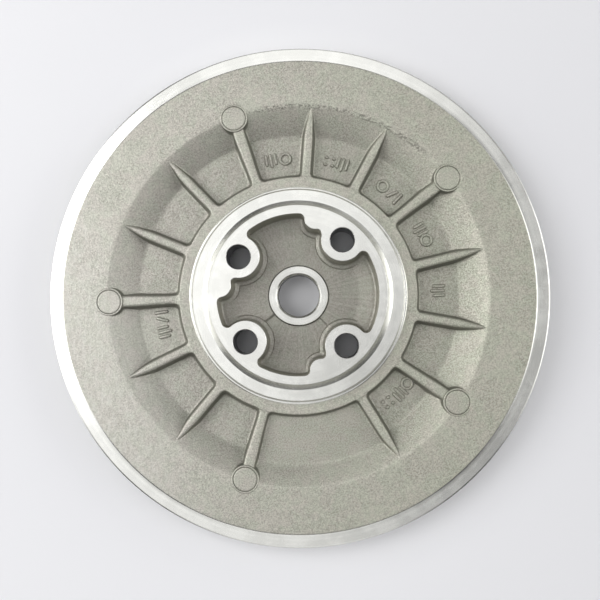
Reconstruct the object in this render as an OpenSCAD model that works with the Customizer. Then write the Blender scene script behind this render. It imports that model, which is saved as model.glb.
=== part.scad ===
// Back plate of a turbocharger compressor: a die-cast disc with a machined clamping rim,
// a ribbed dish, a machined pilot ring round a cast pocket, a pressed-in bore sleeve and
// a rubber ring in the groove of its spigot. The compressor side lies on z = 0, the
// bearing housing side faces +Z, and the bore runs along Z through the origin.

/* [Rim] */
// Outer diameter of the clamping rim
rim_d = 180; // [178:1:186]
// Height of the machined clamping band
band_z = 11.2; // [10.8:0.1:11.6]
// Inner diameter of the machined clamping band
band_inner_d = 170.2; // [169:0.2:171]
// Height of the face under the rim
flange_z = 7.4; // [7:0.1:8]
// Chamfer on the edges of the rim
rim_chamfer = 0.4; // [0.2:0.1:0.8]

/* [Spigot and seal] */
// Diameter of the spigot that enters the compressor housing
spigot_d = 168.4; // [167:0.2:169]
// Diameter at the bottom of the seal groove
groove_d = 163; // [162:0.5:164]
// Width of the seal groove
groove_w = 3.2; // [3:0.1:3.4]
// Height of the middle of the seal groove
groove_z = 4.2; // [3.8:0.1:4.6]
// Section diameter of the seal ring as squeezed in place
seal_section = 2.6; // [2.4:0.05:2.65]

/* [Dish] */
// Height of the cast annulus inside the rim
annulus_z = 12; // [11.8:0.1:12.4]
// Diameter at the top of the dish's cone
dish_top_d = 137.2; // [136:0.2:138]
// Diameter at the foot of the dish's cone
dish_foot_d = 117.2; // [115:0.2:118]
// Height of the dish floor
dish_z = 6.4; // [6:0.1:7]
// Height of the floor in the wide pocket, where one rib is left out
wide_z = 7.8; // [7:0.1:8.4]
// Height of the collar round the pilot ring
collar_z = 11.3; // [10.8:0.1:11.6]
// Diameter at the top of the collar's wall
collar_top_d = 85.6; // [85:0.2:86.4]
// Diameter at the foot of the collar's wall
collar_foot_d = 88.2; // [87.4:0.2:89]

/* [Ribs and pads] */
// Number of equal divisions between ribs
rib_divisions = 15; // [15:1:15]
// Angle of the first rib
rib_start = 86; // [84:0.1:88]
// Index of the division that has no rib
rib_left_out = 7; // [7:1:7]
// Width of a rib at its base
rib_base_w = 4.2; // [3.6:0.1:4.6]
// Width of a rib at its crest
rib_crest_w = 2.8; // [2.2:0.1:3.2]
// Height of the rib crests
rib_z = 11.1; // [10.6:0.1:11.2]
// Radius at which the ribs are buried in the cone
rib_end_r = 69; // [68.8:0.1:70]
// Diameter of an ejector-pin pad
pad_d = 10.4; // [9:0.1:11]
// Radius of the circle through the pads
pad_r = 68.3; // [67.5:0.1:69]
// Height of the pads
pad_z = 12.1; // [12.05:0.05:12.6]

/* [Pilot ring] */
// Diameter of the machined land at the foot of the pilot
land_d = 78.8; // [78:0.1:80]
// Depth of the land below the collar
land_depth = 0.2; // [0.1:0.05:0.4]
// Diameter of the pilot
pilot_d = 76.4; // [75.6:0.1:77]
// Height of the outer ring face
ring_z = 14; // [13.4:0.1:14.4]
// Chamfer on the edge of the pilot
pilot_chamfer = 0.6; // [0.3:0.1:0.8]
// Diameter at the foot of the inner cone
step_foot_d = 67.6; // [67:0.1:68.4]
// Diameter at the top of the inner cone
step_top_d = 63.7; // [63:0.1:64.4]
// Height of the bolted face
face_z = 16.5; // [16:0.1:17.5]

/* [Pocket] */
// Diameter of the pocket between its bosses
pocket_d = 57.6; // [57:0.1:58.2]
// Height of the pocket floor
pocket_z = 7; // [6.8:0.1:7.4]
// Depth of the lower sector of the pocket floor
low_sector_depth = 0.6; // [0.3:0.1:0.8]
// Diameter where the pocket floor starts to rise
pocket_cone_d = 43.8; // [42:0.2:46]
// Rise of the pocket floor at its outer edge
pocket_cone_rise = 1; // [0.6:0.1:1.4]
// Radius of the pocket's corners
corner_r = 2; // [1.6:0.1:2.2]
// Radius of the notch between a boss and its shoulder
notch_r = 1.8; // [1.5:0.1:2]

/* [Bolt holes] */
// Diameter of the bolt circle
bolt_circle_d = 50; // [49.5:0.1:50.5]
// Diameter of a bolt hole
bolt_hole_d = 8.7; // [8.4:0.1:9]
// Radius of the boss round a bolt hole
boss_r = 7.54; // [7.3:0.02:7.7]
// Radius of a boss's shoulder
shoulder_r = 3.8; // [3.6:0.1:4]
// Distance of a shoulder's centre from the bore
shoulder_centre_r = 27.7; // [27.4:0.1:28]
// Angle between a bolt hole and its shoulder
shoulder_angle = 26.4; // [26:0.1:27]
// Diameter of the spotface under a bolt head
spotface_d = 15; // [14:0.5:16]
// Depth of the spotface
spotface_depth = 0.8; // [0.4:0.1:1.2]

/* [Bore] */
// Outer diameter of the bore sleeve
sleeve_d = 21.7; // [21:0.1:22.4]
// Diameter of the bore
bore_d = 15; // [14.5:0.1:15.5]
// Height of the sleeve's upper face
sleeve_top_z = 7.8; // [7.4:0.1:8.4]
// Height of the sleeve's lower face
sleeve_bottom_z = 0.6; // [0.4:0.1:1]
// Chamfer at each end of the bore
bore_chamfer = 0.5; // [0.3:0.1:0.7]

/* [Compressor side] */
// Diameter of the recess behind the wheel
recess_d = 100; // [96:1:104]
// Depth of the recess
recess_depth = 2.5; // [2:0.1:3]
// Diameter of the boss round the sleeve
hub_boss_d = 31; // [29:0.5:32]

/* [Hidden] */
$fn = 96;
pocket_r = pocket_d / 2;
bolt_circle_r = bolt_circle_d / 2;
// Angle of each bolt hole, and the side on which its boss has a shoulder (0 for none)
bolts = [[50.7, 1], [147.6, 1], [222.1, 0], [313.6, -1]];
// Angles between which the pocket floor is lower
low_sector = [218, 314];
// Pads stand at the ends of every third rib, from this one on
first_pad = 2;
pad_step = 3;
// Radial run of the slope between the recess and the diffuser face
recess_edge = 1.2;
// Chamfer on the end of the spigot
spigot_chamfer = 0.8;
// Radial run of the slope round the boss on the compressor side
hub_boss_slope = 1.5;
// Overlap that makes a cut or a buried end run clear of a face
over = 1;
// Distance by which a corner's solid stops short of its tangent points, to leave no sliver
corner_trim = 0.25;

// Angle between sides a and b of a triangle whose third side is c
function included_angle(a, b, c) = acos((a * a + b * b - c * c) / (2 * a * b));
// Point at radius r and angle t
function polar(r, t) = [r * cos(t), r * sin(t)];
// Point at distance d from p on the way to q
function towards(p, q, d) = p + (q - p) * d / norm(q - p);
function rib_angle(k) = rib_start - k * 360 / rib_divisions;

// Solid left in the corner between the pocket's circle and a boss of radius b, whose
// centre lies at radius a on the +X axis, on the side of positive angles
module wall_corner(a, b) {
    f = polar(pocket_r - corner_r, included_angle(a, pocket_r - corner_r, b + corner_r));
    k_angle = included_angle(a, pocket_r, b);
    start = towards(f, polar(pocket_r, k_angle), corner_trim);
    difference() {
        polygon([
            start,
            start * (pocket_r + over) / norm(start),
            polar(pocket_r + over, k_angle),
            polar(pocket_r, k_angle - over),
            towards(start, [a, 0], corner_r + over)
        ]);
        translate(f) circle(corner_r);
    }
}

// Solid between a boss on the +X axis and its shoulder, behind the small notch
module shoulder_notch() {
    boss = [bolt_circle_r, 0];
    shoulder = polar(shoulder_centre_r, shoulder_angle);
    span = norm(shoulder - boss);
    along = included_angle(span, boss_r + notch_r, shoulder_r + notch_r);
    heading = atan2(shoulder[1] - boss[1], shoulder[0] - boss[0]);
    f = boss + polar(boss_r + notch_r, heading + along);
    difference() {
        polygon([
            boss,
            towards(f, boss + shoulder, corner_trim),
            shoulder,
            polar(pocket_r + over, shoulder_angle),
            polar(pocket_r + over, 0)
        ]);
        translate(f) circle(notch_r);
    }
}

// Boss on the +X axis with its corners, and with a shoulder on the positive side or not
module boss_outline(has_shoulder) {
    translate([bolt_circle_r, 0]) circle(boss_r);
    mirror([0, 1]) wall_corner(bolt_circle_r, boss_r);
    if (has_shoulder) {
        rotate(shoulder_angle) {
            translate([shoulder_centre_r, 0]) circle(shoulder_r);
            wall_corner(shoulder_centre_r, shoulder_r);
        }
        shoulder_notch();
    } else {
        wall_corner(bolt_circle_r, boss_r);
    }
}

// Opening of the pocket in the bolted face
module pocket_outline() {
    difference() {
        circle(pocket_r);
        for (bolt = bolts)
            rotate(bolt[0])
                mirror([0, bolt[1] < 0 ? 1 : 0])
                    boss_outline(bolt[1] != 0);
    }
}

// Space above the pocket's floor in its low sector, which rises towards the wall
module above_low_floor() {
    z = pocket_z - low_sector_depth;
    rotate_extrude()
        polygon([
            [0, z],
            [pocket_cone_d / 2, z],
            [pocket_r, z + pocket_cone_rise],
            [pocket_r + over, z + pocket_cone_rise],
            [pocket_r + over, face_z + over],
            [0, face_z + over]
        ]);
}

// Everything that is cut away inside the pilot ring from above
module pocket() {
    intersection() {
        linear_extrude(face_z + over) pocket_outline();
        above_low_floor();
    }
}

// Floor outside the low sector, buried in the pocket's wall at its outer edge and
// reaching into the space that the sleeve's bore takes
module raised_floor() {
    inner_r = sleeve_d / 2 - over;
    outer_r = pocket_r + over;
    rotate(low_sector[1])
        rotate_extrude(angle = 360 - low_sector[1] + low_sector[0])
            polygon([
                [inner_r, pocket_z - low_sector_depth - over],
                [outer_r, pocket_z - low_sector_depth - over],
                [outer_r, pocket_z + pocket_cone_rise],
                [pocket_r, pocket_z + pocket_cone_rise],
                [pocket_cone_d / 2, pocket_z],
                [inner_r, pocket_z]
            ]);
}

// Half section of the turned and cast disc, before the sleeve's bore is cut
module disc_section() {
    rim_r = rim_d / 2;
    spigot_r = spigot_d / 2;
    groove_r = groove_d / 2;
    recess_r = recess_d / 2;
    hub_r = hub_boss_d / 2;
    polygon([
        [0, sleeve_bottom_z],
        [hub_r, sleeve_bottom_z],
        [hub_r + hub_boss_slope, recess_depth],
        [recess_r, recess_depth],
        [recess_r + recess_edge, 0],
        [spigot_r - spigot_chamfer, 0],
        [spigot_r, spigot_chamfer],
        [spigot_r, groove_z - groove_w / 2],
        [groove_r, groove_z - groove_w / 2],
        [groove_r, groove_z + groove_w / 2],
        [spigot_r, groove_z + groove_w / 2],
        [spigot_r, flange_z],
        [rim_r - rim_chamfer, flange_z],
        [rim_r, flange_z + rim_chamfer],
        [rim_r, band_z - rim_chamfer],
        [rim_r - rim_chamfer, band_z],
        [band_inner_d / 2, band_z],
        [band_inner_d / 2, annulus_z],
        [dish_top_d / 2, annulus_z],
        [dish_foot_d / 2, dish_z],
        [collar_foot_d / 2, dish_z],
        [collar_top_d / 2, collar_z],
        [land_d / 2, collar_z],
        [land_d / 2, collar_z - land_depth],
        [pilot_d / 2, collar_z - land_depth],
        [pilot_d / 2, ring_z - pilot_chamfer],
        [pilot_d / 2 - pilot_chamfer, ring_z],
        [step_foot_d / 2, ring_z],
        [step_top_d / 2, face_z],
        [0, face_z]
    ]);
}

// Rib along +X, whose drafted sides run on below the floor
module rib() {
    inner_r = collar_top_d / 2 - over;
    draft = (rib_base_w - rib_crest_w) / 2 / (rib_z - dish_z);
    root_w = rib_base_w + 2 * draft * over;
    translate([inner_r, 0, 0])
        rotate([90, 0, 90])
            linear_extrude(rib_end_r - inner_r)
                polygon([
                    [-root_w / 2, dish_z - over],
                    [root_w / 2, dish_z - over],
                    [rib_crest_w / 2, rib_z],
                    [-rib_crest_w / 2, rib_z]
                ]);
}

// Raised floor between the two ribs beside the missing one
module wide_pocket_floor() {
    step = 360 / rib_divisions;
    rotate(rib_angle(rib_left_out) - step)
        rotate_extrude(angle = 2 * step)
            polygon([
                [collar_top_d / 2, dish_z - over],
                [dish_top_d / 2, dish_z - over],
                [dish_top_d / 2, wide_z],
                [collar_top_d / 2, wide_z]
            ]);
}

module ejector_pad() {
    translate([pad_r, 0, dish_z - over])
        cylinder(d = pad_d, h = pad_z - dish_z + over);
}

// Bore into which the sleeve is pressed
module sleeve_bore() {
    translate([0, 0, -over])
        cylinder(d = sleeve_d, h = face_z + 2 * over);
}

module bolt_hole() {
    translate([bolt_circle_r, 0, -over])
        cylinder(d = bolt_hole_d, h = face_z + 2 * over);
    translate([bolt_circle_r, 0, 0])
        cylinder(d = spotface_d, h = recess_depth + spotface_depth);
}

module cast_disc() {
    rotate_extrude() disc_section();
    wide_pocket_floor();
    for (k = [0 : rib_divisions - 1])
        if (k != rib_left_out)
            rotate(rib_angle(k)) rib();
    for (k = [first_pad : pad_step : rib_divisions - 1])
        rotate(rib_angle(k)) ejector_pad();
}

module back_plate() {
    color([0.71, 0.71, 0.67])
    difference() {
        union() {
            difference() {
                cast_disc();
                pocket();
            }
            raised_floor();
        }
        sleeve_bore();
        for (bolt = bolts)
            rotate(bolt[0]) bolt_hole();
    }
}

module bore_sleeve() {
    bore_r = bore_d / 2;
    color([0.88, 0.88, 0.85])
    rotate_extrude()
        polygon([
            [bore_r, sleeve_bottom_z + bore_chamfer],
            [bore_r + bore_chamfer, sleeve_bottom_z],
            [sleeve_d / 2, sleeve_bottom_z],
            [sleeve_d / 2, sleeve_top_z],
            [bore_r + bore_chamfer, sleeve_top_z],
            [bore_r, sleeve_top_z - bore_chamfer]
        ]);
}

module rim_seal_ring() {
    clearance = 0.05;
    color([0.06, 0.06, 0.06])
    translate([0, 0, groove_z])
        rotate_extrude()
            translate([spigot_d / 2 - clearance - seal_section / 2, 0])
                circle(d = seal_section);
}

back_plate();
bore_sleeve();
rim_seal_ring();
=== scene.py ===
import math

import bmesh
import bpy
import numpy as np
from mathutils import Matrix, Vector
from mathutils.geometry import delaunay_2d_cdt


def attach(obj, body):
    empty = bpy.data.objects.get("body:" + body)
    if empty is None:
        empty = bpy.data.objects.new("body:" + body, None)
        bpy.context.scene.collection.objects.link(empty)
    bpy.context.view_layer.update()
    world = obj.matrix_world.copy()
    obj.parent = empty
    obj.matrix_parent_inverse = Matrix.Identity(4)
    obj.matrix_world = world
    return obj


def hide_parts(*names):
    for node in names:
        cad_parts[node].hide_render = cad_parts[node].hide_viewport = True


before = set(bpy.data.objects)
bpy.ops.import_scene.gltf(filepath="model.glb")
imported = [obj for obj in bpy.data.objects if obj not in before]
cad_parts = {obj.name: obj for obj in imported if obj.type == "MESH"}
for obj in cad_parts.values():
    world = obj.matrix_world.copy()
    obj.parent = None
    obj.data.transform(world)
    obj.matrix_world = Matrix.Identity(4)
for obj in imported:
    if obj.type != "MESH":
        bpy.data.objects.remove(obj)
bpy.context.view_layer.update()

# The casting is built as one closed shell in millimetres and scaled to metres at the end.
MM = 0.001

# ---------------------------------------------------------------- dimensions of the part
# rim, and the spigot below it with its seal groove
RIM_R, BAND_Z, BAND_IN_R, FLANGE_Z, RIM_CHAMFER = 90.0, 11.2, 85.1, 7.4, 0.4
SPIGOT_R, GROOVE_R, GROOVE_Z, GROOVE_W = 84.2, 81.5, 4.2, 3.2
SEAL_R, SEAL_SECTION_R = 82.85, 1.3
# raised annulus and dish; the wide pocket where a rib is left out has a higher floor
ANNULUS_Z, DISH_TOP_R, DISH_FOOT_R, DISH_Z, WIDE_Z = 12.0, 68.6, 58.6, 6.4, 7.8
COLLAR_Z, COLLAR_TOP_R, COLLAR_FOOT_R, LAND_R, LAND_Z = 11.3, 42.8, 44.1, 39.2, 11.1
# ribs: the open ones run to a point, every third one ends at an ejector pad
RIBS, RIB_START, RIB_LEFT_OUT = 15, 86.0, 7
RIB_TOP_Z, RIB_END_Z, RIB_CREST, RIB_BASE, RIB_FROM = 11.1, 11.75, 1.5, 2.4, 41.0
RIB_POINT, RIB_POINT_FROM, RIB_POINT_TO, RIB_POINT_POWER = 1.25, 57.5, 69.3, 1.4
PAD_RIB_GAIN, PAD_RIB_FROM, PAD_RIB_TO = 0.5, 46, 62
PAD_R, PAD_AT, PAD_Z, PAD_LEAN = 4.95, 68.3, 12.22, 0.2
WITNESS_R, WITNESS_DEPTH, WITNESS_HALF_W = 4.3, 0.36, 0.2
# roundings of the cast skin
DISH_EDGE_ROUND, DISH_FOOT_ROUND, RIB_ROOT_ROUND, PAD_EDGE_ROUND = 0.3, 0.35, 1.5, 0.2
# pilot ring, inner cone and bolting face
PILOT_R, RING_Z, STEP_FOOT_R, STEP_TOP_R, FACE_Z = 38.2, 14.0, 33.8, 31.85, 16.5
# pocket between the bolt bosses, its raised cone and its lowered sector
POCKET_R, CORNER_R, NOTCH_R, POCKET_Z, LOW_BY = 28.8, 2.0, 1.8, 7.0, 0.6
CONE_R, CONE_RISE, LOW_FROM, LOW_TO = 21.9, 1.0, 218.0, 314.0
LIP, LIP_Z, DRAFT, FILLET, FOOT_GROOVE, FOOT_GROOVE_W = 0.14, 0.16, 0.3, 1.45, 0.2, 0.3
# bolt holes; each boss has its angle and the side on which its shoulder stands, 0 for none
BOLT_AT, HOLE_R, BOSS_R, SHOULDER_R, SHOULDER_AT, SHOULDER_BY = 25.0, 4.35, 7.54, 3.8, 27.7, 26.4
BOLTS = [(50.7, 1), (147.6, 1), (222.1, 0), (313.6, -1)]
# hidden side
SPOTFACE_R, SPOTFACE_Z, RECESS_R, RECESS_Z, RECESS_RUN = 7.5, 3.3, 50.0, 2.5, 1.2
HUB_BOSS_R, HUB_SLOPE = 15.5, 1.5
# sleeve, and the bore in the plate that holds it
SLEEVE_R, SLEEVE_TOP, SLEEVE_BOTTOM, BORE_R = 10.85, 7.8, 0.6, 7.5
SEAT_R, SEAT_MOUTH_R = SLEEVE_R + 0.05, SLEEVE_R + 0.26
# the cast dish lies a little off the axis of the turned faces
CAST_SHIFT = -0.3

TAU = 2 * math.pi
CAST, TURNED, POCKET, DRILLED = range(4)
LATHE_ANGLES = np.arange(400) * TAU / 400


def polar(r, degrees):
    t = math.radians(degrees)
    return np.array([r * math.cos(t), r * math.sin(t)])


def smooth(x):
    x = np.clip(x, 0.0, 1.0)
    return x * x * (3 - 2 * x)


class Noise:
    """Smooth seeded value noise over the plane, between -1 and 1."""

    def __init__(self, seed):
        self.table = np.random.default_rng(seed).uniform(-1, 1, (64, 64))

    def __call__(self, x, y):
        i, j = np.floor(x).astype(int), np.floor(y).astype(int)
        u, v = smooth(x - i), smooth(y - j)
        t = self.table
        a, b = t[i % 64, j % 64], t[(i + 1) % 64, j % 64]
        c, d = t[i % 64, (j + 1) % 64], t[(i + 1) % 64, (j + 1) % 64]
        return (a * (1 - u) + b * u) * (1 - v) + (c * (1 - u) + d * u) * v


class Shell:
    """Points and faces that share point numbers, so that every part of the skin joins up."""

    def __init__(self):
        self.chunks, self.count, self.faces, self.mats = [], 0, [], []

    def add(self, xyz):
        """Adds points and returns their numbers."""
        xyz = np.asarray(xyz, float).reshape(-1, 3)
        self.chunks.append(xyz)
        self.count += len(xyz)
        return np.arange(self.count - len(xyz), self.count)

    def at(self, ids):
        return np.concatenate(self.chunks)[ids]

    def circle(self, angles, r, z, centre=(0.0, 0.0)):
        x, y = centre[0] + r * np.cos(angles), centre[1] + r * np.sin(angles)
        return self.add(np.stack([x, y, np.broadcast_to(z, x.shape)], 1))

    def strip(self, a, b, mat):
        """Quads between two closed loops of as many points."""
        n = len(a)
        for i in range(n):
            j = (i + 1) % n
            self.faces.append((a[i], a[j], b[j], b[i]))
            self.mats.append(mat)

    def bands(self, loops, mats):
        """Joins each loop to the next; mats is one material or one for each band."""
        for k in range(len(loops) - 1):
            self.strip(loops[k], loops[k + 1], mats if isinstance(mats, int) else mats[k])
        return loops[-1]

    def turned(self, start, angles, profile, mat, centre=(0.0, 0.0)):
        """Carries loop start along a profile of (r, z) corners."""
        loops = [start] + [self.circle(angles, r, z, centre) for r, z in profile]
        return self.bands(loops, mat)

    def join(self, a, b, mat):
        """Triangulates the flat ring between two round loops. Returns the second one."""
        one, two = self.at(a), self.at(b)

        def between(p):
            return in_polygon(p, one[:, :2]) != in_polygon(p, two[:, :2])

        self.fill([a, b], [], between, level(two[0, 2]), mat)
        return b

    def fill(self, loops, points, inside, height, mat):
        """Triangulates the area between loops, with more points inside it. inside tells which
        triangles to keep from their centres, height gives the new points their z."""
        known = np.concatenate(loops)
        flat = self.at(known)[:, :2]
        edges, base = [], 0
        for loop in loops:
            n = len(loop)
            edges += [(base + i, base + (i + 1) % n) for i in range(n)]
            base += n
        xy = np.concatenate([flat, np.asarray(points, float).reshape(-1, 2)])
        verts, _, faces, origin, _, _ = delaunay_2d_cdt(
            [Vector((float(x), float(y))) for x, y in xy], edges, [], 0, 1e-6
        )
        out = np.array([(v.x, v.y) for v in verts])
        ids = np.full(len(out), -1)
        for k, src in enumerate(origin):
            own = [s for s in src if s < len(known)]
            if own:
                ids[k] = known[own[0]]
        keep = inside(out[np.array(faces)].mean(1))
        used = np.unique(np.array(faces)[keep])
        new = [k for k in used if ids[k] < 0]
        if new:
            p = out[new]
            ids[new] = self.add(np.column_stack([p, height(p[:, 0], p[:, 1])]))
        for f, k in zip(faces, keep):
            if k:
                self.faces.append(tuple(ids[list(f)]))
                self.mats.append(mat)

    def build(self, name, materials, sharp=32):
        """Makes the object in metres, with edges above sharp degrees kept hard."""
        mesh = bpy.data.meshes.new(name)
        points = np.concatenate(self.chunks) * MM
        mesh.from_pydata(points.tolist(), [], [tuple(int(i) for i in f) for f in self.faces])
        for m in materials:
            mesh.materials.append(m)
        mesh.polygons.foreach_set("material_index", self.mats)
        mesh.polygons.foreach_set("use_smooth", [True] * len(self.faces))
        bm = bmesh.new()
        bm.from_mesh(mesh)
        bmesh.ops.remove_doubles(bm, verts=bm.verts, dist=1e-7)
        loose = [v for v in bm.verts if not v.link_faces]
        bmesh.ops.delete(bm, geom=loose, context="VERTS")
        bmesh.ops.recalc_face_normals(bm, faces=bm.faces)
        bm.to_mesh(mesh)
        bm.free()
        mesh.set_sharp_from_angle(angle=math.radians(sharp))
        obj = bpy.data.objects.new(name, mesh)
        bpy.context.scene.collection.objects.link(obj)
        return obj


def level(z):
    """Height function of a flat face."""
    return lambda x, y: np.full_like(x, z)


def in_polygon(p, polygon):
    inside = np.zeros(len(p), bool)
    a, b = polygon, np.roll(polygon, -1, 0)
    for (x0, y0), (x1, y1) in zip(a, b):
        if y0 == y1:
            continue
        hit = (y0 > p[:, 1]) != (y1 > p[:, 1])
        inside ^= hit & (p[:, 0] < (x1 - x0) * (p[:, 1] - y0) / (y1 - y0) + x0)
    return inside


def polar_grid(r0, r1, step):
    """Points on circles from r0 to r1, about a step apart."""
    out = []
    for k in range(int((r1 - r0) / step) + 1):
        r = r0 + k * step
        n = max(6, int(TAU * r / step))
        t = (np.arange(n) + 0.5 * (k % 2)) * TAU / n
        out.append(np.stack([r * np.cos(t), r * np.sin(t)], 1))
    return np.concatenate(out)


def off_holes(p, r):
    """Which points lie farther than r from the axis of every bolt hole."""
    return np.all([np.hypot(*(p - polar(BOLT_AT, a)).T) > r for a, _ in BOLTS], 0)


def distance_to(points, loop):
    return np.min([np.hypot(*(points - q).T) for q in loop], 0)


# ---------------------------------------------------------------- outline of the pocket
def included_angle(a, b, c):
    """Angle in degrees between sides a and b of a triangle whose third side is c."""
    return math.degrees(math.acos((a * a + b * b - c * c) / (2 * a * b)))


def outline_circles(d):
    """Circles whose arcs make the pocket's outline, moved d into the pocket's space.
    The outer wall moves less, because it has less draft and a smaller fillet.
    Each is centre, radius, side: 1 where the centre lies in the space, -1 in the metal."""
    smallest, outer_share = 0.3, 0.62
    wall = POCKET_R - outer_share * d
    corner, notch = max(CORNER_R - d, smallest), max(NOTCH_R - d, smallest)
    chain = []
    for angle, shoulder in BOLTS:
        solids = [(BOLT_AT, angle, BOSS_R + d)]
        if shoulder:
            solids.append((SHOULDER_AT, angle + shoulder * SHOULDER_BY, SHOULDER_R + d))
        solids = solids[:: shoulder or 1]
        for k, (at, a, r) in enumerate(solids):
            gap = included_angle(at, wall - corner, r + corner)
            if k == 0:
                chain.append((polar(wall - corner, a - gap), corner, 1))
            if k == 1:
                p, q = polar(*solids[0][:2]), polar(at, a)
                span = np.linalg.norm(q - p)
                rp, rq = solids[0][2] + notch, r + notch
                along = (span**2 + rp**2 - rq**2) / (2 * span)
                across = math.sqrt(rp**2 - along**2)
                u = (q - p) / span
                chain.append((p + u * along + np.array([-u[1], u[0]]) * across, notch, 1))
            chain.append((polar(at, a), r, -1))
        chain.append((polar(wall - corner, a + gap), corner, 1))
        chain.append((np.zeros(2), wall, 1))
    return chain


def outline_arcs(d):
    """Arcs between the points where neighbouring circles touch: centre, radius, start, sweep."""
    chain = outline_circles(d)
    arcs = []
    for k, (c, r, side) in enumerate(chain):
        ends = []
        for other, other_side in (chain[k - 1][0::2], chain[(k + 1) % len(chain)][0::2]):
            inner = side == 1 and other_side == 1 and r < POCKET_R / 2
            v = c - other if inner else other - c
            ends.append(math.atan2(v[1], v[0]))
        sweep = (ends[1] - ends[0]) % TAU if side == 1 else -((ends[0] - ends[1]) % TAU)
        arcs.append((c, r, ends[0], sweep))
    return arcs


def arc_points(r, sweep):
    """Number of points on an arc, closer together on small ones."""
    step = 0.3 if r < 3 else 0.55 if r < 10 else 0.9
    return max(5, round(abs(sweep) * r / step))


ARC_POINTS = [arc_points(r, sweep) for _, r, _, sweep in outline_arcs(0)]


def outline(d):
    """Outline moved a distance d into the pocket's space, always with as many points."""
    out = []
    for (c, r, start, sweep), n in zip(outline_arcs(d), ARC_POINTS):
        t = start + sweep * np.arange(n) / n
        out.append(np.stack([c[0] + r * np.cos(t), c[1] + r * np.sin(t)], 1))
    return np.concatenate(out)


def pocket_floor(x, y):
    """Height of the pocket's floor, which rises outwards and steps down in one sector."""
    r, step_w = np.hypot(x, y), 1.1
    rise = np.clip(r - CONE_R, 0, None) * CONE_RISE / (POCKET_R - CONE_R)
    low = np.ones_like(r)
    for a, side in ((LOW_FROM, 1), (LOW_TO, -1)):
        t = math.radians(a)
        across = side * (-x * math.sin(t) + y * math.cos(t))
        low = np.minimum(low, smooth(across / step_w + 0.5))
    return POCKET_Z + rise - LOW_BY * low * (y < 0)


# ---------------------------------------------------------------- cast field of the dish
def round_union(a, b, r):
    """Signed distance to two bodies joined with a fillet of radius r."""
    return np.maximum(r, np.minimum(a, b)) - np.hypot(np.maximum(r - a, 0), np.maximum(r - b, 0))


def round_cut(a, b, r):
    """Signed distance to what two bodies share, with its edge rounded by r."""
    return np.minimum(-r, np.maximum(a, b)) + np.hypot(np.maximum(r + a, 0), np.maximum(r + b, 0))


def line_distance(r, z, p, q):
    """Distance in the half section from the line p to q, positive on its left."""
    dr, dz = q[0] - p[0], q[1] - p[1]
    return (dr * (z - p[1]) - dz * (r - p[0])) / math.hypot(dr, dz)


def rib_angle(k):
    return math.radians(RIB_START - k * 360 / RIBS)


def ends_at_pad(k):
    return k % 3 == 2


def rib_point(y):
    """Width that the open rib ends lose on each side as they run to a point."""
    run = np.clip((y - RIB_POINT_FROM) / (RIB_POINT_TO - RIB_POINT_FROM), 0, 1)
    return RIB_POINT * run ** RIB_POINT_POWER


def cast_solid(r, o, y, z, floor_z, has_rib, has_pad):
    """Signed distance to the cast skin; o and y lie across and along the nearest rib."""
    cone = line_distance(r, z, (DISH_FOOT_R, DISH_Z), (DISH_TOP_R, ANNULUS_Z))
    dish = round_union(z - floor_z, round_cut(cone, z - ANNULUS_Z, DISH_EDGE_ROUND), DISH_FOOT_ROUND)

    # collar and ribs, cut off at their crests
    wall = line_distance(r, z, (COLLAR_TOP_R, COLLAR_Z), (COLLAR_FOOT_R, DISH_Z))
    lean = (RIB_BASE - RIB_CREST) / (RIB_TOP_Z - DISH_Z)
    gain = PAD_RIB_GAIN * smooth((y - PAD_RIB_FROM) / (PAD_RIB_TO - PAD_RIB_FROM))
    crest_w = RIB_CREST + np.where(has_pad, gain, -rib_point(y))
    side = (np.abs(o) - crest_w - lean * (RIB_TOP_Z - z)) / math.hypot(1, lean)
    side = np.maximum(side, RIB_FROM - y)
    walls = np.where(has_rib, round_union(wall, side, RIB_ROOT_ROUND), wall)
    outwards = np.clip((r - COLLAR_FOOT_R) / (DISH_TOP_R - COLLAR_FOOT_R), 0, 1)
    top = COLLAR_Z + (RIB_TOP_Z - COLLAR_Z) * smooth((r - COLLAR_TOP_R) / 0.6)
    top += (RIB_END_Z - RIB_TOP_Z) * outwards
    crest_round = 0.35 + 0.5 * smooth((r - 43.2) / 3)
    foot_round = 0.5 * smooth((RIB_TOP_Z - z) / 1.5) + 0.02
    skin = round_union(dish, round_cut(walls, z - top, crest_round), foot_round)

    # ejector pad at the end of the rib
    across = (np.hypot(o, y - PAD_AT) - PAD_R - PAD_LEAN * (PAD_Z - z)) / math.hypot(1, PAD_LEAN)
    pad = round_cut(across, z - PAD_Z, PAD_EDGE_ROUND)
    pad_foot_round = np.clip((ANNULUS_Z - 0.4 - z) / 2, 0.02, 0.4)
    return np.where(has_pad, round_union(skin, pad, pad_foot_round), skin)


# Distances at which grid lines run from a pad's centre and from a rib's centre line
PAD_STEPS = [0.9, 1.8, 2.7, 3.5, 3.95, 4.14, 4.3, 4.46, 4.6, 4.72, 4.84, 4.96, 5.1, 5.3, 5.5, 5.7, 6.2]
RIB_STEPS = [0, 0.4, 0.72, 0.98, 1.18, 1.35, 1.48, 1.6, 1.76, 1.94, 2.12, 2.28, 2.46, 2.72, 3.1]


def field_lines():
    """Lines of the grid that run outwards: rib number, side, offset from the rib in mm, and
    share of the way from there to the middle between two ribs."""
    lines = []
    for k in range(RIBS):
        if k == RIB_LEFT_OUT:
            lines += [(k, 1, 0.0, share) for share in np.linspace(-1, 1, 19)[:-1]]
            continue
        offsets = RIB_STEPS + (PAD_STEPS[3:] if ends_at_pad(k) else [])
        shares = np.linspace(0, 1, 4 if ends_at_pad(k) else 6)[1:]
        half = [(o, 0.0) for o in offsets] + [(offsets[-1], share) for share in shares]
        lines += [(k, -1, o, share) for o, share in half[:0:-1]]
        lines += [(k, 1, o, share) for o, share in half[:-1]]
    return lines


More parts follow.
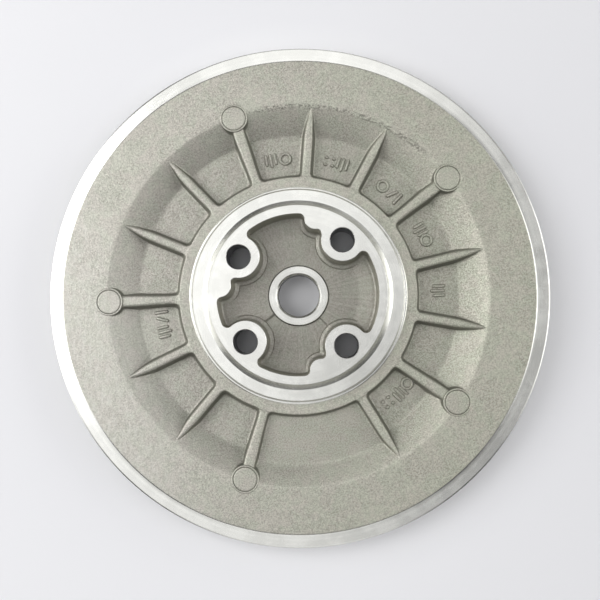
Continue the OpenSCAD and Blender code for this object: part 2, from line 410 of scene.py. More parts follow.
def line_angle(line, r):
    """Angle at which a grid line crosses radius r."""
    k, side, o, share = line
    half_sector = math.pi / RIBS
    if k == RIB_LEFT_OUT:
        return rib_angle(k) + share * half_sector
    if not ends_at_pad(k):
        # lines beside an open rib follow its sides to the point and spread again beyond it
        o = o - rib_point(r) * (1 - smooth((r - 71) / 3)) * min(o / RIB_CREST, 1)
    a = np.arcsin(np.clip(o / r, -1, 1))
    return rib_angle(k) + side * (a + (half_sector - a) * share)


def field_radii():
    """Radii of the grid's rings, close together where the skin bends."""
    collar = [LAND_R, 40.2, 41.2, 42.0, 42.35, 42.55, 42.68, 42.8, 42.95, 43.2, 43.45, 43.7, 43.9]
    collar += [44.08, 44.3, 44.55, 44.9, 45.4, 46.2]
    dish = [47.5, 49, 50.5, 52, 53.5, 55, 56.4, 57.4]
    dish_foot = [58.1, 58.4, 58.6, 58.8, 59.1, 59.7, 60.3, 60.8, 61.1, 61.4]
    pad = [PAD_AT - p for p in PAD_STEPS] + [PAD_AT, 68.35, 68.6, 68.8] + [PAD_AT + p for p in PAD_STEPS]
    annulus = [75.3, 77, 79, 81, 82.8, 84, 84.6, 84.9]
    return sorted(collar + dish + dish_foot + pad + annulus)


def even_angles(lines):
    """One angle for each line, which spreads those of a sector evenly for the turned faces."""
    outer = np.array([line_angle(line, 78.0) for line in lines]) % TAU
    sector = np.array([line[0] for line in lines])
    even = np.empty(len(lines))
    for k in range(RIBS):
        mine = np.flatnonzero(sector == k)
        low = rib_angle(k) - math.pi / RIBS
        rank = np.argsort(np.argsort((outer[mine] - low + 1e-6) % TAU))
        even[mine] = low + rank * TAU / RIBS / len(mine)
    return even


def circled(o, y, r, is_pad):
    """Moves grid points near a pad so that the squares of grid lines round it become circles."""
    dy = np.full_like(o, r - PAD_AT)
    square, circle = np.maximum(np.abs(o), np.abs(dy)), np.hypot(o, dy) + 1e-9
    share = np.where(is_pad, 1 - smooth((square - 5.75) / 1.4), 0.0)
    scale = square / circle * share + 1 - share
    along = (PAD_AT + dy * scale) * share + y * (1 - share)
    return np.where(share > 0, o * scale, o), np.where(share > 0, along, y)


def skin_height(r, o, y, floor_z, has_rib, is_pad):
    """Height of the cast skin above each point, found by halving."""
    low, high = np.full_like(o, 4.0), np.full_like(o, 15.0)
    for _ in range(34):
        mid = (low + high) / 2
        above = cast_solid(r, o, y, mid, floor_z, has_rib, is_pad) > 0
        low, high = np.where(above, low, mid), np.where(above, mid, high)
    return (low + high) / 2


def build_field(shell):
    """Cast field from the land to the band. Returns its angles and its two edge loops."""
    lines = sorted(field_lines(), key=lambda line: line_angle(line, 60.0) % TAU)
    sector = np.array([line[0] for line in lines])
    centre = np.array([rib_angle(k) for k in sector])
    is_pad, has_rib = ends_at_pad(sector), sector != RIB_LEFT_OUT
    even = even_angles(lines)
    noise = Noise(3)
    loops = []
    for r in field_radii():
        # towards the turned faces the lines spread evenly
        t = np.array([line_angle(line, r) for line in lines])
        turn = (even - t + math.pi) % TAU - math.pi
        t = t + (smooth((r - 75) / 9) + smooth((42 - r) / 2.6)) * turn
        across, along = circled(r * np.sin(t - centre), r * np.cos(t - centre), r, is_pad)
        x = along * np.cos(centre) - across * np.sin(centre)
        y = along * np.sin(centre) + across * np.cos(centre)
        rho = np.hypot(x, y)

        away = (np.arctan2(y, x) - rib_angle(RIB_LEFT_OUT) + math.pi) % TAU - math.pi
        floor_z = np.where(np.abs(away) < TAU / RIBS, WIDE_Z, DISH_Z)
        z = skin_height(rho, across, along, floor_z, has_rib, is_pad)
        # witness line that the ejector pin leaves on a pad
        off_witness = np.abs(np.hypot(across, along - PAD_AT) - WITNESS_R)
        z -= np.where(is_pad, WITNESS_DEPTH * np.clip(1 - off_witness / WITNESS_HALF_W, 0, 1), 0)

        x = x + CAST_SHIFT * smooth((rho - 42) / 3) * smooth((66 - rho) / 6)
        uneven = 0.035 * noise(x / 7, y / 7) + 0.015 * noise(x / 2.6 + 9, y / 2.6)
        z += smooth((rho - 40) / 2) * smooth((84.5 - rho) / 3) * uneven
        loops.append(shell.add(np.stack([x, y, z], 1)))
    shell.bands(loops, CAST)
    return even, loops[0], loops[-1]


# ---------------------------------------------------------------- the casting
def build_rim(shell, start, angles):
    """Rim, spigot, seal groove and diffuser face, up to the floor of the recess. Loops a little
    inside an edge keep the shading of the flat faces beside it flat."""
    root = 0.45
    step = [(BAND_IN_R, 11.8)]
    for t in np.linspace(0, math.pi / 2, 6):
        step.append((BAND_IN_R + root * (1 - math.cos(t)), BAND_Z + root * (1 - math.sin(t))))
    edge = shell.turned(start, angles, [(85.02, 11.93)], CAST)
    edge = shell.turned(edge, angles, step, TURNED)
    edge = shell.join(edge, shell.circle(LATHE_ANGLES, 86.6, BAND_Z), TURNED)

    band = [(88.0, BAND_Z), (RIM_R - RIM_CHAMFER - 0.2, BAND_Z), (RIM_R - RIM_CHAMFER - 0.1, BAND_Z),
            (RIM_R - 0.12, BAND_Z - 0.15), (RIM_R, BAND_Z - RIM_CHAMFER)]
    flange = [(RIM_R, 9.3), (RIM_R, FLANGE_Z + RIM_CHAMFER), (RIM_R - RIM_CHAMFER, FLANGE_Z),
              (87.0, FLANGE_Z), (SPIGOT_R + 0.35, FLANGE_Z), (SPIGOT_R + 0.1, FLANGE_Z - 0.1)]
    top, low = GROOVE_Z + GROOVE_W / 2, GROOVE_Z - GROOVE_W / 2
    spigot = [(SPIGOT_R, FLANGE_Z - 0.35), (SPIGOT_R, top + 0.15), (SPIGOT_R - 0.15, top),
              (GROOVE_R + 0.3, top), (GROOVE_R, top - 0.3), (GROOVE_R, low + 0.3), (GROOVE_R + 0.3, low),
              (SPIGOT_R - 0.15, low), (SPIGOT_R, low - 0.15), (SPIGOT_R, 0.8), (SPIGOT_R - 0.8, 0.0)]
    diffuser = [(76.0, 0.0), (67.0, 0.0), (59.0, 0.0), (RECESS_R + RECESS_RUN, 0.0),
                (RECESS_R + 0.25, RECESS_Z - 0.35), (RECESS_R, RECESS_Z - 0.1), (RECESS_R - 0.3, RECESS_Z)]
    return shell.turned(edge, LATHE_ANGLES, band + flange + spigot + diffuser, TURNED)


def build_pilot(shell, start, angles):
    """Land, pilot ring and inner cone, up to the edge of the bolting face."""
    edge = shell.turned(start, angles, [(LAND_R - 0.28, LAND_Z), (LAND_R - 0.34, LAND_Z)], TURNED)
    edge = shell.join(edge, shell.circle(LATHE_ANGLES, PILOT_R + 0.42, LAND_Z), TURNED)
    corner = [(PILOT_R + 0.35, LAND_Z), (PILOT_R + 0.18, LAND_Z + 0.05),
              (PILOT_R + 0.05, LAND_Z + 0.18), (PILOT_R, LAND_Z + 0.35)]
    ring = [(PILOT_R, RING_Z - 0.6), (PILOT_R - 0.6, RING_Z), (36.0, RING_Z), (STEP_FOOT_R + 0.2, RING_Z)]
    cone = [(STEP_FOOT_R + 0.1, RING_Z), (STEP_FOOT_R - 0.07, RING_Z + 0.09),
            (STEP_FOOT_R - 0.12, RING_Z + 0.155), (STEP_TOP_R + 0.115, FACE_Z - 0.19),
            (STEP_TOP_R + 0.06, FACE_Z - 0.12), (STEP_TOP_R - 0.08, FACE_Z), (STEP_TOP_R - 0.16, FACE_Z)]
    return shell.turned(edge, LATHE_ANGLES, corner + ring + cone, TURNED)


def build_pocket_wall(shell):
    """Wall of the pocket, from its lip to the groove at its foot. Returns the loops at its top
    and bottom, and the outline of the bottom one."""
    foot = outline(DRAFT + FILLET + 2 * FOOT_GROOVE_W)
    floor_z = pocket_floor(foot[:, 0], foot[:, 1])
    top = FACE_Z - LIP_Z
    steps = [(-LIP, np.full(len(foot), FACE_Z)), (0.02, np.full(len(foot), top))]
    for share in (0.33, 0.66):
        steps.append((DRAFT * share, top + (floor_z + FILLET - top) * share))
    for t in np.linspace(0, math.pi / 2, 8):
        steps.append((DRAFT + FILLET * (1 - math.cos(t)), floor_z + FILLET * (1 - math.sin(t))))
    # the groove round the bosses fades out along the outer arcs
    depth = FOOT_GROOVE * (1 - 0.85 * smooth((np.hypot(*foot.T) - 22) / 3))
    steps += [(DRAFT + FILLET + FOOT_GROOVE_W, floor_z - depth),
              (DRAFT + FILLET + 2 * FOOT_GROOVE_W, floor_z)]
    walls = [shell.add(np.column_stack([outline(d), z])) for d, z in steps]
    shell.bands(walls[:2], TURNED)
    shell.bands(walls[1:], POCKET)
    return walls[0], walls[-1], foot


def build_bolt_holes(shell):
    """Bolt holes with their spotfaces. Returns their loops on the face and in the recess."""
    angles = np.arange(64) * TAU / 64
    tops, spots = [], []
    for a, _ in BOLTS:
        c = polar(BOLT_AT, a)
        tops.append(shell.circle(angles, HOLE_R + 0.2, FACE_Z, c))
        edge = shell.turned(tops[-1], angles, [(HOLE_R, FACE_Z - 0.22)], TURNED, c)
        edge = shell.turned(edge, angles, [(HOLE_R, z) for z in (12, 8, SPOTFACE_Z + 0.3)], DRILLED, c)
        spots.append(shell.turned(edge, angles, [
            (HOLE_R + 0.3, SPOTFACE_Z), (6.0, SPOTFACE_Z), (SPOTFACE_R - 0.2, SPOTFACE_Z),
            (SPOTFACE_R, SPOTFACE_Z - 0.2), (SPOTFACE_R, RECESS_Z + 0.1), (SPOTFACE_R + 0.1, RECESS_Z),
        ], TURNED, c))
    return tops, spots


def fill_bolting_face(shell, edge, lip, tops):
    mouth = outline(-LIP)

    def on_face(p):
        return off_holes(p, HOLE_R + 0.19) & ~in_polygon(p, mouth)

    grid = polar_grid(17.5, 31.2, 0.8)
    grid = grid[on_face(grid) & off_holes(grid, HOLE_R + 0.6) & (distance_to(grid, mouth) > 0.35)]
    shell.fill([edge, lip] + tops, grid, on_face, level(FACE_Z), TURNED)


def build_hub(shell):
    """Bore that holds the sleeve, and the boss round it on the hidden side."""
    angles = np.arange(120) * TAU / 120
    xy = SEAT_MOUTH_R * np.stack([np.cos(angles), np.sin(angles)], 1)
    top = shell.add(np.column_stack([xy, pocket_floor(xy[:, 0], xy[:, 1])]))
    drop = shell.add(np.column_stack([SEAT_R / SEAT_MOUTH_R * xy, shell.at(top)[:, 2] - 0.5]))
    shell.strip(top, drop, DRILLED)
    boss = shell.turned(drop, angles, [
        (SEAT_R, 4.0), (SEAT_R, SLEEVE_BOTTOM + 0.15), (SLEEVE_R + 0.2, SLEEVE_BOTTOM),
        (HUB_BOSS_R, SLEEVE_BOTTOM), (HUB_BOSS_R + 0.2, SLEEVE_BOTTOM + 0.08),
        (HUB_BOSS_R + HUB_SLOPE - 0.1, RECESS_Z - 0.1), (HUB_BOSS_R + HUB_SLOPE + 0.15, RECESS_Z),
    ], TURNED)
    return top, boss


def fill_pocket_floor(shell, edge, foot, hub_top):
    """Floor of the pocket, with closer points along the two steps of its lowered sector."""
    def on_floor(p):
        return (np.hypot(*p.T) > SEAT_MOUTH_R - 0.01) & in_polygon(p, foot)

    grid = polar_grid(SEAT_MOUTH_R + 0.5, POCKET_R - 2, 0.62)
    ramps = []
    for a in (LOW_FROM, LOW_TO):
        u, v = polar(1.0, a), polar(1.0, a + 90)
        along = np.arange(SEAT_MOUTH_R + 0.2, POCKET_R, 0.4)[:, None]
        ramps += [along * u + off * v for off in np.linspace(-0.6, 0.6, 9)]
        grid = grid[(np.abs(grid @ v) > 0.85) | (grid @ u < 0)]
    grid = np.concatenate([grid] + ramps)
    grid = grid[on_floor(grid) & (distance_to(grid, foot) > 0.2)]
    shell.fill([edge, hub_top], grid, on_floor, pocket_floor, POCKET)


def fill_recess(shell, edge, boss, spots):
    """Floor of the recess behind the wheel."""
    def on_recess(p):
        r = np.hypot(*p.T)
        return (r < RECESS_R) & (r > HUB_BOSS_R + HUB_SLOPE + 0.14) & off_holes(p, SPOTFACE_R + 0.09)

    grid = polar_grid(19, 48, 2.2)
    grid = grid[on_recess(grid) & off_holes(grid, SPOTFACE_R + 0.8)]
    shell.fill([edge, boss] + spots, grid, on_recess, level(RECESS_Z), TURNED)


def build_casting(materials):
    """The plate as one closed skin; materials are in the order of CAST to DRILLED."""
    shell = Shell()
    angles, inner, outer = build_field(shell)
    recess_edge = build_rim(shell, outer, angles)
    face_edge = build_pilot(shell, inner, angles)
    lip, wall_foot, foot = build_pocket_wall(shell)
    tops, spots = build_bolt_holes(shell)
    fill_bolting_face(shell, face_edge, lip, tops)
    hub_top, boss = build_hub(shell)
    fill_pocket_floor(shell, wall_foot, foot, hub_top)
    fill_recess(shell, recess_edge, boss, spots)
    return shell.build("casting", materials)


# ---------------------------------------------------------------- sleeve, seal and cast marks
def lathe(name, corners, n, materials, mats=0):
    """Closed ring turned from a closed half section. mats is as for Shell.bands."""
    shell = Shell()
    angles = np.arange(n) * TAU / n
    loops = [shell.circle(angles, r, z) for r, z in corners]
    shell.bands(loops + loops[:1], mats)
    return shell.build(name, materials)


def build_sleeve(materials):
    """Sleeve with chamfered ends; materials are those of its outside and of its bore."""
    top, low = SLEEVE_TOP, SLEEVE_BOTTOM
    outside = [
        (BORE_R, low + 0.5), (BORE_R + 0.5, low), (9.2, low), (SLEEVE_R - 0.2, low), (SLEEVE_R, low + 0.2),
        (SLEEVE_R, 4.0), (SLEEVE_R, top - 0.22), (SLEEVE_R - 0.22, top), (9.9, top), (8.9, top),
        (BORE_R + 0.75, top), (BORE_R + 0.08, top - 0.45),
    ]
    bore = [(BORE_R, top - 0.6), (BORE_R, 4.2)]
    return lathe("sleeve", outside + bore, 160, materials, [0] * len(outside) + [1] * len(bore))


def build_seal(material):
    """Rubber ring, squeezed a little flat, with the fine flash lines of its mould."""
    squeeze, flash, n = 0.012, 0.03, 28
    corners = []
    for k in range(n):
        t = k / n * TAU
        r = SEAL_SECTION_R * (1 - squeeze * math.cos(2 * t)) + (flash if k in (n // 4, 3 * n // 4) else 0.0)
        corners.append((SEAL_R + r * math.cos(t), GROOVE_Z + r * math.sin(t)))
    return lathe("seal", corners, 360, [material])


# half widths and heights of a raised mark, from below the skin to its top
MARK_WIDTHS, MARK_HEIGHTS = [0.82, 0.6, 0.4, 0.24], [-0.2, 0.05, 0.64, 0.72]
MARK_RING_WIDTHS = [0.76, 0.56, 0.36, 0.2]
# radius and angle at which each group stands, and what it is
MARKS = [
    (50.6, 2.0, "bars"), (50.8, 23.5, "ring"), (50.4, 28.5, "bars"), (50.6, 46.0, "cross"),
    (50.6, 52.5, "ring"), (50.6, 71.5, "bars"), (50.6, 77.0, "dots"), (50.6, 95.5, "ring"),
    (50.6, 101.5, "bars"), (50.6, 188.5, "cross"), (50.6, 195.0, "bars"),
    (50.4, 310.0, "dots"), (50.8, 316.0, "bars"), (50.6, 321.0, "ring"),
]


def bar_loop(p, q, w, n=8):
    """Outline of a bar from p to q with round ends and half width w."""
    a = math.atan2(q[1] - p[1], q[0] - p[0])
    half_turn = np.linspace(-math.pi / 2, math.pi / 2, n)
    ends = [(q, a + half_turn), (p, a + math.pi + half_turn)]
    return np.concatenate([c + w * np.stack([np.cos(t), np.sin(t)], 1) for c, t in ends])


def add_bar(shell, centre, angle, start, end):
    """Raised bar, closed below the skin; start and end are in the group's own directions."""
    u, v = polar(1.0, angle), polar(1.0, angle + 90)
    p, q = (centre + x * u + y * v for x, y in (start, end))
    loops = []
    for w, height in zip(MARK_WIDTHS, MARK_HEIGHTS):
        xy = bar_loop(p, q, w)
        loops.append(shell.add(np.column_stack([xy, np.full(len(xy), DISH_Z + height)])))
    shell.bands(loops, 0)
    for cap in (loops[0], loops[-1]):
        shell.faces.append(tuple(cap))
        shell.mats.append(0)


def add_ring(shell, centre, r):
    angles = np.arange(28) * TAU / 28
    half = list(zip(MARK_RING_WIDTHS, MARK_HEIGHTS))
    section = [(-w, h) for w, h in half] + half[::-1]
    loops = [shell.circle(angles, r + dr, DISH_Z + h, centre) for dr, h in section]
    shell.bands(loops + loops[:1], 0)


def build_marks(material):
    """Foundry marks as plain bars, dots and rings on the pocket floors."""
    shell = Shell()
    for r, a, kind in MARKS:
        c, turn = polar(r, a), a + 90
        if kind == "bars":
            for s in (-1.7, 0.0, 1.7):
                add_bar(shell, c, turn, (s, -2.1), (s, 2.1 - 0.5 * abs(s)))
        elif kind == "ring":
            add_ring(shell, c, 1.9)
        elif kind == "cross":
            add_bar(shell, c, turn, (-1.5, -2.0), (-1.5, 2.0))
            add_bar(shell, c, turn, (0.5, -1.7), (1.9, 1.7))
        else:
            for s in (-1.3, 1.3):
                for q in (-1.3, 1.3):
                    add_bar(shell, c, turn, (s - 0.15, q), (s + 0.15, q))
    return shell.build("cast_marks", [material], sharp=50)


# ---------------------------------------------------------------- materials
class Nodes:
    """Short ways to add shader nodes to one material. Textures work in millimetres."""

    def __init__(self, name):
        self.mat = bpy.data.materials.new(name)
        self.mat.use_nodes = True
        self.tree = self.mat.node_tree
        self.bsdf = self.tree.nodes["Principled BSDF"]
        coord = self.new("ShaderNodeTexCoord")
        scale = self.new("ShaderNodeMapping")
        scale.inputs["Scale"].default_value = (1 / MM, 1 / MM, 1 / MM)
        self.link(coord.outputs["Object"], scale.inputs["Vector"])
        self.mm = scale.outputs["Vector"]

    def new(self, kind, **props):
        node = self.tree.nodes.new(kind)
        for key, value in props.items():
            setattr(node, key, value)
        return node

    def link(self, a, b):
        self.tree.links.new(a, b)

    def put(self, value, socket):
        if isinstance(value, bpy.types.NodeSocket):
            self.link(value, socket)
        else:
            socket.default_value = value

    def noise(self, scale, detail=3.0, rough=0.5, vector=None, w=None):
        """Noise over a vector, or along the one value w."""
        node = self.new("ShaderNodeTexNoise", noise_dimensions="1D" if w else "3D")
        node.inputs["Scale"].default_value = scale
        node.inputs["Detail"].default_value = detail
        node.inputs["Roughness"].default_value = rough
        if w:
            self.link(w, node.inputs["W"])
        else:
            self.link(vector or self.mm, node.inputs["Vector"])
        return node.outputs["Fac"]

    def ramp(self, value, low, high, a=0.0, b=1.0):
        """Runs smoothly from a to b as the value goes from low to high."""
        node = self.new("ShaderNodeMapRange", interpolation_type="SMOOTHSTEP")
        self.put(value, node.inputs["Value"])
        for key, v in (("From Min", low), ("From Max", high), ("To Min", a), ("To Max", b)):
            self.put(v, node.inputs[key])
        return node.outputs["Result"]

    def math(self, op, a, b=0.0, c=0.0):
        node = self.new("ShaderNodeMath", operation=op)
        for value, socket in zip((a, b, c), node.inputs):
            self.put(value, socket)
        return node.outputs[0]

    def mix(self, fac, a, b, kind="MIX"):
        node = self.new("ShaderNodeMix", data_type="RGBA", blend_type=kind)
        self.put(fac, node.inputs[0])
        for value, socket in ((a, node.inputs[6]), (b, node.inputs[7])):
            self.put(value if isinstance(value, bpy.types.NodeSocket) else (*value, 1.0), socket)
        return node.outputs[2]

    def times(self, color, fac, a, b):
        """The colour multiplied by one between a and b."""
        return self.mix(1.0, color, self.mix(fac, a, b), "MULTIPLY")

    def flat(self, operation):
        """VectorMath node of one operation, fed with the position without its height."""
        flat = self.new("ShaderNodeVectorMath", operation="MULTIPLY")
        self.link(self.mm, flat.inputs[0])
        flat.inputs[1].default_value = (1, 1, 0)
        node = self.new("ShaderNodeVectorMath", operation=operation)
        self.link(flat.outputs[0], node.inputs[0])
        return node

    def radius(self):
        return self.flat("LENGTH").outputs["Value"]

    def outwards(self):
        return self.flat("NORMALIZE").outputs["Vector"]

    def stretched(self, turn, x, y):
        """The position, turned and scaled in the plane."""
        node = self.new("ShaderNodeMapping")
        node.inputs["Rotation"].default_value = (0, 0, turn)
        node.inputs["Scale"].default_value = (x, y, 1)
        self.link(self.mm, node.inputs["Vector"])
        return node.outputs["Vector"]

    def flatness(self):
        """1 on level skin, 0 on upright skin."""
        geometry = self.new("ShaderNodeNewGeometry")
        split = self.new("ShaderNodeSeparateXYZ")
        self.link(geometry.outputs["Normal"], split.inputs[0])
        return self.math("ABSOLUTE", split.outputs["Z"])

    def bump(self, height, distance):
        node = self.new("ShaderNodeBump")
        node.inputs["Distance"].default_value = distance * MM
        node.inputs["Strength"].default_value = 1.0
        self.link(height, node.inputs["Height"])
        return node.outputs["Normal"]

    def set(self, **values):
        for key, value in values.items():
            self.put(value, self.bsdf.inputs[key.replace("_", " ")])
        return self.mat


def cast_material(name, dark, light, rough, grain, wall_shading, streaks=0.0):
    """Cast skin. grain is the height of its bumps in mm, the argument after it the tone of upright skin
    against dark (painted shade below 1, painted light above 1), and streaks the strength of fine streaks
    that run outwards from the hub."""
    n = Nodes(name)
    split = n.new("ShaderNodeSeparateXYZ")
    n.link(n.mm, split.inputs[0])
    x, y, z = (split.outputs[axis] for axis in "XYZ")

    sand, fine = n.noise(1.8, 2, 0.6), n.noise(3.2, 1, 0.6)
    tone = n.math("ADD", n.math("MULTIPLY", sand, 0.4), n.math("MULTIPLY", fine, 0.6))
    color = n.mix(n.ramp(tone, 0.36, 0.64), dark, light)
    broad = n.ramp(n.noise(0.09, 4, 0.65), 0.35, 0.7)
    color = n.mix(n.math("MULTIPLY", broad, 0.3), color, light)
    # painted shade: the skin is darker down in the dish, and painted light makes what stands higher lighter
    height_shade = n.ramp(z, DISH_Z - 0.5, ANNULUS_Z + 0.5)
    color = n.times(color, height_shade, (0.93, 0.93, 0.93), (1.09, 1.09, 1.09))
    # the skin turns a little greener across the part, and its hue varies a little in spots
    color = n.times(color, n.ramp(x, -70, 80), (1.0, 0.99, 1.01), (0.975, 0.98, 0.955))
    spots = n.ramp(n.noise(0.2, 2, 0.6), 0.4, 0.6)
    color = n.times(color, spots, (1.015, 0.985, 1.0), (0.99, 1.0, 0.985))

    # pale flow marks where the metal ran into the die, kept to the lower left side of the part, where they
    # also paint on light
    side = n.ramp(n.math("MULTIPLY_ADD", y, 0.36, x), -46, -86)
    flow_and_light = n.ramp(n.noise(1.0, 4, 0.6, vector=n.stretched(0.15, 0.8, 0.2)), 0.42, 0.68)
    flow_and_light = n.math("MULTIPLY", side, n.math("MULTIPLY_ADD", flow_and_light, 0.35, 0.2))
    color = n.mix(flow_and_light, color, (0.68, 0.67, 0.63))
    spokes = n.ramp(n.noise(22, 2, 0.5, vector=n.outwards()), 0.35, 0.7)
    color = n.mix(n.math("MULTIPLY", spokes, streaks), color, tuple(1.25 * c for c in light))
    # upright skin gets one flat tone: painted shade on the cast skin, painted light on the walls of the
    # pocket
    color = n.mix(n.ramp(n.flatness(), 0.1, 0.8), tuple(wall_shading * c for c in dark), color)

    # the edge of the dish is pitted along one stretch
    rho = n.radius()
    stretch = n.math("MULTIPLY", n.ramp(y, 48, 54), n.ramp(x, -22, -12))
    edge = n.math("MULTIPLY", n.ramp(rho, 67.0, 68.2), n.ramp(rho, 69.8, 69.0))
    pits = n.math("MULTIPLY", n.math("MULTIPLY", stretch, edge), n.ramp(n.noise(1.1, 3, 0.7), 0.5, 0.58))
    color = n.mix(n.math("MULTIPLY", pits, 0.55), color, tuple(0.5 * c for c in dark))
    height = n.math("MULTIPLY_ADD", fine, 0.45, n.math("SUBTRACT", sand, pits))
    return n.set(
        Base_Color=color, Metallic=0.8, Roughness=n.ramp(sand, 0.3, 0.7, rough + 0.06, rough - 0.06),
        Normal=n.bump(height, grain),
    )


def turned_material(name, color_a, color_b, rough, pitch=5.0, depth=0.004, anisotropic=0.55):
    """Turned metal. pitch and depth are those of its fine rings, in rings per mm and mm."""
    n = Nodes(name)
    rho = n.radius()
    fine, wide = n.noise(pitch, 2, 0.6, w=rho), n.noise(0.8, 2, 0.6, w=rho)
    patch = n.noise(0.12, 3, 0.55)
    tone = n.math("MULTIPLY_ADD", n.math("SUBTRACT", wide, 0.5), 0.8, n.ramp(patch, 0.3, 0.7))
    color = n.mix(n.ramp(tone, 0.0, 1.2), color_a, color_b)
    # short scuffs that handling has left
    scuffs = n.ramp(n.noise(0.9, 2, 0.5, vector=n.stretched(0.7, 3.5, 0.22)), 0.70, 0.76)
    dull = n.math("MULTIPLY", scuffs, 0.06)
    roughness = n.math("ADD", n.ramp(patch, 0.3, 0.7, rough - 0.015, rough + 0.015), dull)
    rings = n.math("ADD", fine, n.math("MULTIPLY", wide, 0.15))
    height = n.math("SUBTRACT", rings, n.math("MULTIPLY", scuffs, 0.2))
    tangent = n.new("ShaderNodeTangent", direction_type="RADIAL", axis="Z")
    n.bsdf.inputs["Anisotropic"].default_value = anisotropic
    n.bsdf.inputs["Anisotropic Rotation"].default_value = 0.25
    return n.set(
        Base_Color=color, Metallic=1.0, Roughness=roughness, Normal=n.bump(height, depth),
        Tangent=tangent.outputs["Tangent"],
    )


def rubber_material():
    n = Nodes("seal_rubber")
    fine = n.noise(3.0, 3, 0.6)
    dust = n.ramp(n.noise(0.5, 4, 0.65), 0.5, 0.75)
    color = n.mix(dust, (0.011, 0.011, 0.012), (0.035, 0.034, 0.033))
    return n.set(Base_Color=color, Roughness=n.ramp(fine, 0.3, 0.7, 0.42, 0.6), Normal=n.bump(fine, 0.02))


def floor_material():
    n = Nodes("floor_paper")
    cloud = n.noise(0.004, 2, 0.5)
    color = n.mix(cloud, (0.81, 0.81, 0.84), (0.85, 0.85, 0.87))
    # light that the rim throws on the paper round it
    color = n.mix(n.ramp(n.radius(), 106, 93), color, (0.88, 0.88, 0.90))
    # painted shadow: the paper is greyer under the part, where it can be seen through the bore
    color = n.mix(n.ramp(n.radius(), 5, 12), (0.6, 0.6, 0.61), color)
    return n.set(Base_Color=color, Roughness=n.ramp(n.noise(0.8), 0.3, 0.7, 0.75, 0.9))


cast = cast_material("cast_skin", (0.32, 0.32, 0.275), (0.555, 0.555, 0.485), 0.55, 0.14, 0.68)
# the pocket's skin is darker, partly as a different skin and partly as painted shade of the deep pocket;
# its upright walls get painted light
pocket = cast_material("pocket_skin_shaded", (0.27, 0.265, 0.23), (0.4, 0.395, 0.35), 0.5, 0.11, 1.6, 0.25)
turned = turned_material("turned_aluminium", (0.80, 0.80, 0.765), (0.90, 0.90, 0.862), 0.24)
# the walls of the bolt holes are a dark copy of the turned aluminium: painted shade of the deep holes
drilled_shaded = turned_material(
    "drilled_aluminium_shaded", (0.22, 0.22, 0.22), (0.34, 0.34, 0.34), 0.35, 3.0, 0.006, 0.2
)
steel = turned_material("sleeve_steel", (0.72, 0.72, 0.685), (0.84, 0.84, 0.80), 0.26, 7.0, 0.003)
# the bore of the sleeve is a dark copy of the steel: painted shade inside the bore
bore_shaded = turned_material("honed_bore_shaded", (0.16, 0.16, 0.16), (0.24, 0.24, 0.24), 0.3, 4.0, 0.004, 0.2)

casting = build_casting([cast, turned, pocket, drilled_shaded])
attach(casting, "root")
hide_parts("back_plate")

sleeve = build_sleeve([steel, bore_shaded])
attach(sleeve, "root")
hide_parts("bore_sleeve")

seal = build_seal(rubber_material())
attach(seal, "root")
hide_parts("rim_seal_ring")

marks = build_marks(cast)
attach(marks, "root")


# ---------------------------------------------------------------- floor, light and camera
def build_floor():
    mesh = bpy.data.meshes.new("floor")
    half, z = 3.0, -0.0001
    corners = [(-half, -half, z), (half, -half, z), (half, half, z), (-half, half, z)]
    mesh.from_pydata(corners, [], [(0, 1, 2, 3)])
    mesh.materials.append(floor_material())
    obj = bpy.data.objects.new("floor", mesh)
    bpy.context.scene.collection.objects.link(obj)


def build_side_light():
    """One soft light from the left, which gives the ribs their shaded sides."""
    place = Vector((-0.5, 0.15, 0.55))
    light = bpy.data.lights.new("left", "AREA")
    light.shape = "RECTANGLE"
    light.size, light.size_y = 0.5, 0.5
    light.energy = 2.3
    obj = bpy.data.objects.new("left", light)
    obj.location = place
    obj.rotation_euler = (-place).to_track_quat("-Z", "Y").to_euler()
    bpy.context.scene.collection.objects.link(obj)


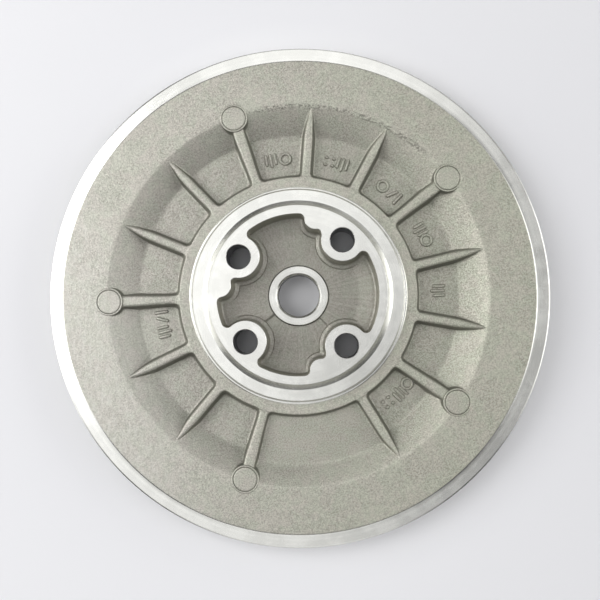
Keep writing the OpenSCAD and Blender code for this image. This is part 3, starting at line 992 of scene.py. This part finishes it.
# Soft lobes of light round the object: azimuth, elevation, half angle, brightness
LOBES = [
    # ceiling
    (0, 90, 14, 0.41), (90, 70, 14, 0.8), (132, 70, 14, 0.13), (180, 70, 14, 0.62),
    (225, 70, 14, 0.33), (270, 70, 14, 0.2),
    # soft boxes half way up
    (0, 48, 18, 1.18), (90, 48, 18, 0.7), (180, 48, 18, 0.62), (270, 48, 18, 0.82),
    # low lights at the sides
    (6, 20, 20, 2.1), (45, 20, 22, 0.5), (184, 20, 22, 1.7),
    # pale walls all round, which fade out above the horizon
    (0, -90, 75, 2.0),
]
AMBIENT = (0.02, 0.02, 0.02)


def vector_math(tree, operation, a=None, b=None):
    """VectorMath node with sockets or constants on its first two inputs."""
    node = tree.nodes.new("ShaderNodeVectorMath")
    node.operation = operation
    for value, socket in zip((a, b), node.inputs):
        if isinstance(value, bpy.types.NodeSocket):
            tree.links.new(value, socket)
        elif value:
            socket.default_value = value
    return node


def build_world():
    """Sum of the lobes, each of which fades from half to one and a half of its half angle."""
    world = bpy.data.worlds.new("studio")
    world.use_nodes = True
    tree = world.node_tree
    coord = tree.nodes.new("ShaderNodeTexCoord")
    total = AMBIENT
    for azimuth, elevation, half, brightness in LOBES:
        a, e = math.radians(azimuth), math.radians(elevation)
        towards = (math.cos(e) * math.cos(a), math.cos(e) * math.sin(a), math.sin(e))
        dot = vector_math(tree, "DOT_PRODUCT", coord.outputs["Generated"], towards)
        soft = tree.nodes.new("ShaderNodeMapRange")
        soft.interpolation_type = "SMOOTHSTEP"
        tree.links.new(dot.outputs["Value"], soft.inputs["Value"])
        soft.inputs["From Min"].default_value = math.cos(math.radians(half * 1.5))
        soft.inputs["From Max"].default_value = math.cos(math.radians(half * 0.5))
        lobe = vector_math(tree, "SCALE", (brightness, brightness, brightness))
        tree.links.new(soft.outputs["Result"], lobe.inputs["Scale"])
        total = vector_math(tree, "ADD", lobe.outputs[0], total).outputs[0]
    tree.links.new(total, tree.nodes["Background"].inputs["Color"])
    bpy.context.scene.world = world
    bpy.context.scene.view_settings.view_transform = "Standard"


build_floor()
build_side_light()
build_world()

# The photograph was taken from nearly straight above.
camera = bpy.data.cameras.new("camera")
camera.sensor_width = 36.0
camera.lens = 51.1
camera.clip_start, camera.clip_end = 0.01, 20
eye = bpy.data.objects.new("camera", camera)
eye.location = (0.0097, -0.0151, 0.317)
eye.rotation_euler = (math.radians(2.50), math.radians(1.69), 0)
bpy.context.scene.collection.objects.link(eye)
bpy.context.scene.camera = eye
